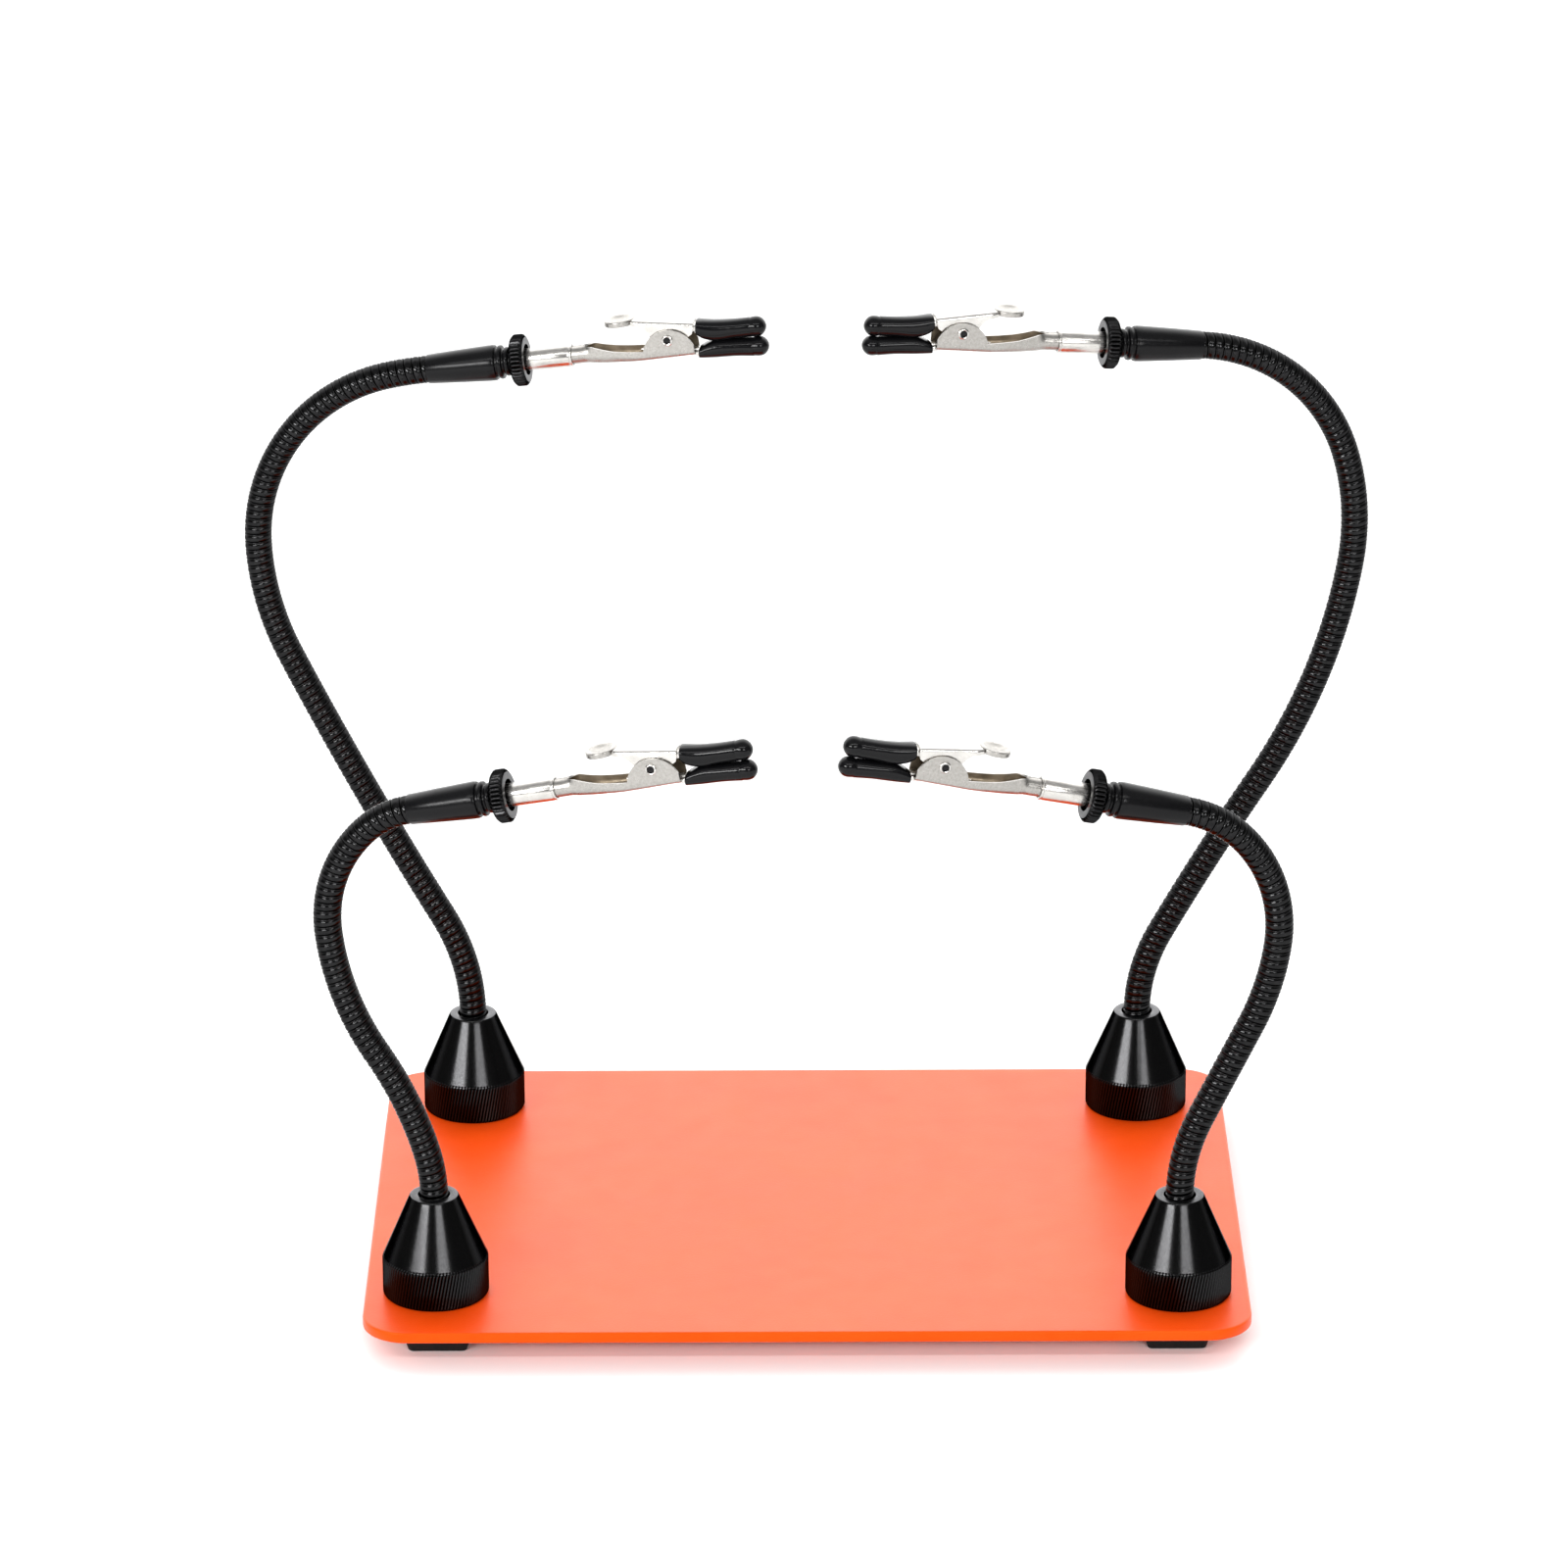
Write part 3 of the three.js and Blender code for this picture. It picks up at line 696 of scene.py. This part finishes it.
def lever_shape():
    """The upper jaw: a narrow channel with its open side down, which hangs over the rivet."""
    pivot, up = PIVOT
    ear = 3.2
    arc = np.radians(np.linspace(181, 330, 26))
    edge = [(31.5, 8.0), (35.3, 7.3), (36.4, 6.3), (38.0, 4.35)]
    edge += [(pivot + ear * math.cos(a), up + ear * math.sin(a)) for a in arc] + [(49.8, 3.9), (50.4, 5.6)]
    xs = np.unique(np.concatenate([
        np.arange(31.9, 39.4, 0.45), pivot + ear * np.cos(arc), np.arange(45.6, 50, 0.6), [49.8, 50.4],
    ]))
    ex, ez = [e[0] for e in edge], [e[1] for e in edge]
    crown_height = 0.22
    rings = []
    for x in xs:
        top = np.interp(x, [31, 50.4], [9.6, 6.9])
        half = np.interp(x, [31, 34, 51], [2.4, LEVER_HALF, LEVER_HALF])
        rim = np.interp(x, ex, ez)
        section = u_section(half, 0, max(top - rim, 0.95), 0.85, 6)
        crown = [crown_height * (1 - min(1, abs(y) / (half - 0.4)) ** 2) for y, _ in section]
        rings.append([(x, -y, top - z + c - crown_height) for (y, z), c in zip(section, crown)])
    return grid(np.array(rings), wrap=False)


def pad_shape():
    """The thumb pad: a shallow dish with its rim folded down, and a relief notch each side of the lever."""
    radius = PAD["radius"]
    dish = [
        (0.02, -1.0), (0.8, -0.98), (1.6, -0.88), (2.3, -0.68), (2.9, -0.38), (3.3, -0.15), (3.6, -0.03),
        (3.85, 0), (4.1, -0.01), (4.3, -0.08), (4.44, -0.2), (4.5, -0.4),
    ]
    angle = np.linspace(-math.pi, math.pi, 120, endpoint=False)
    away = np.abs(np.degrees(angle))
    skirt = np.interp(away, [34, 36, 43, 45, 180], [0.95, 0.35, 0.35, 1.6, 1.6])
    rings = []
    for r, z in dish:
        rings.append([(PAD["along"] + r * math.cos(a), r * math.sin(a), PAD["up"] + z) for a in angle])
    for share in (0.4, 0.7, 1):
        rings.append([
            (PAD["along"] + radius * math.cos(a), radius * math.sin(a), PAD["up"] - max(0.42, share * s))
            for a, s in zip(angle, skirt)
        ])
    return grid(np.array(rings)[:, ::-1])


def rivet_shape():
    half = [
        (4.1, 0.95), (4.5, 0.98), (4.68, 1.08), (4.75, 1.26), (4.68, 1.46), (4.5, 1.62), (4.32, 1.65),
        (4.2, 1.6), (4.2, 1.25),
    ]
    profile = [(-y, r) for y, r in half] + [(y, r) for y, r in reversed(half)] + [(-4.1, 0.95)]
    points, faces = turned(profile, 40, "Y")
    return points + (PIVOT[0], 0, PIVOT[1]), faces


def bore_shade_shape():
    """A spool through the hollow rivet. Its dark ends, inside the rolled rims, are painted shade that stands
    in for the bore.
    """
    profile = [(-4.26, 0), (-4.26, 0.85), (-4.34, 1.1), (4.34, 1.1), (4.26, 0.85), (4.26, 0)]
    points, faces = turned(profile, 40, "Y")
    return points + (PIVOT[0], 0, PIVOT[1]), faces


def spring_shape():
    """The torsion spring round the rivet, with a straight leg at each end."""
    coil, width = SPRING["coil"], SPRING["width"]
    turns = (SPRING["end"] - SPRING["start"]) / 360
    steps, leg_points = 72, 12

    def straight(a, b):
        return [tuple(np.array(a) + (np.array(b) - a) * t) for t in np.linspace(0, 1, leg_points)]

    helix = []
    for i in range(steps + 1):
        share = i / steps
        angle = math.radians(SPRING["start"]) + 2 * math.pi * turns * share
        helix.append((coil * math.cos(angle), width * (share - 0.5), coil * math.sin(angle)))
    ends = [(-SPRING["legs"], -width / 2, SPRING["lift"]), (-SPRING["legs"], width / 2, SPRING["drop"])]
    path = straight(ends[0], helix[0])[:-1] + helix + straight(helix[-1], ends[1])[1:]
    path = np.array(path) + (PIVOT[0], 0, PIVOT[1])
    return tube(path, SPRING["wire"], 10)


def smooth_between(x, stations, column):
    """A smooth curve through one measure of the stations."""
    xs = np.array([s[0] for s in stations], float)
    ys = np.array([s[column] for s in stations], float)
    slopes = np.gradient(ys, xs)
    i = int(np.clip(np.searchsorted(xs, x) - 1, 0, len(xs) - 2))
    step = xs[i + 1] - xs[i]
    t = (x - xs[i]) / step
    a, b = 2 * t**3 - 3 * t**2 + 1, t**3 - 2 * t**2 + t
    c, d = -2 * t**3 + 3 * t**2, t**3 - t**2
    return a * ys[i] + b * step * slopes[i] + c * ys[i + 1] + d * step * slopes[i + 1]


def boot_shape(stations, tilt):
    """A dipped boot: an open mouth, a waist that swells to the seam, and a round bead at the tip."""
    first, last = stations[0][0], stations[-1][0]
    mouth = ((2.5, 0.55), (0.3, 0.55), (0.05, 0.42), (-0.05, 0.2), (0.05, 0.04))
    seam = ((0.1, 0.02), (0.2, 0.08), (0.28, 0.1), (0.36, 0.06))
    squareness, softening, tip_squareness = 2.7, 0.6, 2.1
    angle = np.linspace(0, 2 * math.pi, 40, endpoint=False)

    def ring(x, bottom, top, half, square, lean=0.0):
        power = 2 / square
        ys = half * np.sign(np.cos(angle)) * np.abs(np.cos(angle)) ** power
        zs = (top - bottom) / 2 * np.sign(np.sin(angle)) * np.abs(np.sin(angle)) ** power
        return np.stack([x + lean * zs, ys, (top + bottom) / 2 + zs], 1)

    def at(x):
        return [float(smooth_between(x, stations, k)) for k in (1, 2, 3)]

    bottom, top, half = at(first)
    rings = []
    for dx, inset in mouth:
        rings.append(ring(first + dx, bottom + inset, top - inset, half - inset, squareness, tilt))
    for x in np.linspace(first + 0.25, last, 26):
        share = (x - first) / (last - first)
        low, high, wide = at(x)
        softened = squareness - softening * share
        rings.append(ring(x, low, high, wide, softened, tilt * (1 - min(1, share * 2.5))))
    low, high, wide = at(last)
    for dx, inset in seam:
        rings.append(ring(last + dx, low + inset, high - inset, wide - inset, tip_squareness))
    middle, reach = (low + high) / 2, (high - low) / 2
    xs, shares = np.array(BEAD).T
    for t in np.linspace(0, 1, 20):
        dx = xs[0] + (xs[-1] - xs[0]) * (1 - (1 - t) ** 1.6)
        r = float(np.interp(dx, xs, shares))
        rings.append(ring(last + dx, middle - reach * r, middle + reach * r, wide * r, 2))
    return capped(np.array(rings))


# ---------- one arm ----------

def add_arm(arm):
    name, bends = arm["name"], arm["bends"]
    turn = math.radians(-arm["yaw"] if arm["x"] < 0 else 180 + arm["yaw"])
    root = Matrix.Translation(Vector((arm["x"], arm["y"], PLATE["top"])) * MM) @ Matrix.Rotation(turn, 4, "Z")
    length = sum(run for run, _ in bends)
    x, z, lean = (float(v) for v in neck_at(bends, length))
    hand = root @ Matrix.Translation(Vector((x, 0, z)) * MM) @ Matrix.Rotation(lean - math.pi / 2, 4, "Y")
    clip = hand @ Matrix.Translation((NUT_FRONT * MM, 0, 0))

    magnet = make(f"{name}_magnet_disc", magnet_shape(), root, "magnet_nickel")
    riding(magnet, f"{name}_magnet", f"{name}_magnet")
    cone = make(f"{name}_cone_base", base_shape(), root, "black_metal")
    turn_faces(cone, 2, BASE["height"])
    riding(cone, f"{name}_base", f"{name}_base")
    add_necks(arm, root, length)

    sleeve = make(f"{name}_sleeve", ferrule_shape(), hand, "black_sleeve")
    riding(sleeve, f"{name}_end", f"{name}_ferrule")
    nut = make(f"{name}_thumb_nut", nut_shape(), hand, "black_metal")
    turn_faces(nut, 0, NUT_FRONT)
    riding(nut, f"{name}_nut", f"{name}_nut")

    body, jaw = f"{name}_clip", f"{name}_jaw"
    riding(make(f"{name}_clip_sleeve", socket_shape(), clip, "nickel"), body, f"{name}_socket")
    trough = make(
        f"{name}_trough", lower_jaw_shape(), clip, "nickel", 40, closed=False, inside=True, finish=SATIN
    )
    thicken(trough, SHEET)
    riding(trough, body, f"{name}_lower_jaw")
    lower_nose = nose_shape([(48.6, -2.2, 1), (50, -2.3, 1), (51.5, -2.5, 0.95), (53.5, -2.4, 0.9)], 1.0, 2.7)
    riding(make(f"{name}_trough_nose", lower_nose, clip, "nickel"), body)
    lever = make(f"{name}_lever", lever_shape(), clip, "nickel", 40, closed=False, inside=True)
    thicken(lever, SHEET)
    riding(lever, jaw, f"{name}_upper_jaw")
    pad = make(f"{name}_thumb_pad", pad_shape(), clip, "nickel", 40, closed=False, inside=True, finish=SATIN)
    thicken(pad, PAD["sheet"], PAD["edge"])
    riding(pad, jaw)
    upper_nose = nose_shape([(49.5, 5.0, 1), (50.4, 5.0, 1), (51.5, 4.8, 0.95), (53.5, 4.4, 0.9)], 1.25, 2.5)
    riding(make(f"{name}_lever_nose", upper_nose, clip, "nickel"), jaw)
    riding(make(f"{name}_eyelet", rivet_shape(), clip, "nickel"), body, f"{name}_rivet")
    # a dark spool in the rivet: painted shade for its hollow bore
    riding(make(f"{name}_eyelet_bore_shade", bore_shade_shape(), clip, "black_metal"), body)
    grip = make(f"{name}_grip_low", boot_shape(LOWER_BOOT, BOOT_TILT), clip, "black_vinyl", 50)
    riding(grip, body, f"{name}_lower_boot")
    grip = make(f"{name}_grip_high", boot_shape(UPPER_BOOT, BOOT_TILT), clip, "black_vinyl", 50)
    riding(grip, jaw, f"{name}_upper_boot")

    coil = make(f"{name}_torsion_wire", spring_shape(), clip, "nickel", 60)
    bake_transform(coil)
    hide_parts(f"{name}_spring")


def add_necks(arm, root, length):
    """The gooseneck, cut into pieces between its hinges."""
    name, bends, splits = arm["name"], arm["bends"], arm["splits"]
    long = len(splits) > 1
    nodes = ["neck_root"] + ["neck_middle"] * long + ["neck_upper"]
    zones = [(split - BEND["half"], split + BEND["half"]) for split in splits]
    zones += [(length - BEND["before_end"], length + BEND["past_end"])]
    cuts = [(zones[i][1] + zones[i + 1][0]) / 2 for i in range(len(zones) - 1)] + [length + BEND["tuck"]]

    def point(along):
        x, z, _ = neck_at(bends, along)
        return root @ (Vector((float(x), 0, float(z))) * MM)

    start = NECK["bore_start"]
    for i, (zone, cut, node) in enumerate(zip(zones, cuts, nodes)):
        turns = max(1, round((cut - start) / NECK["pitch"]))
        title = f"{name}_{node.replace('neck', 'gooseneck')}"
        piece = make(title, neck_shape(bends, start, turns), root, "black_gooseneck", 50)
        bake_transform(piece)
        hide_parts(f"{name}_{node}")
        start += turns * NECK["pitch"]


# ---------- the scene ----------

add_camera()
add_world()
for each_box in SOFTBOXES:
    add_softbox(*each_box)
add_overhead()
add_floor()
scene.view_settings.view_transform = "Standard"

add_stand()
for each_arm in ARMS:
    add_arm(each_arm)
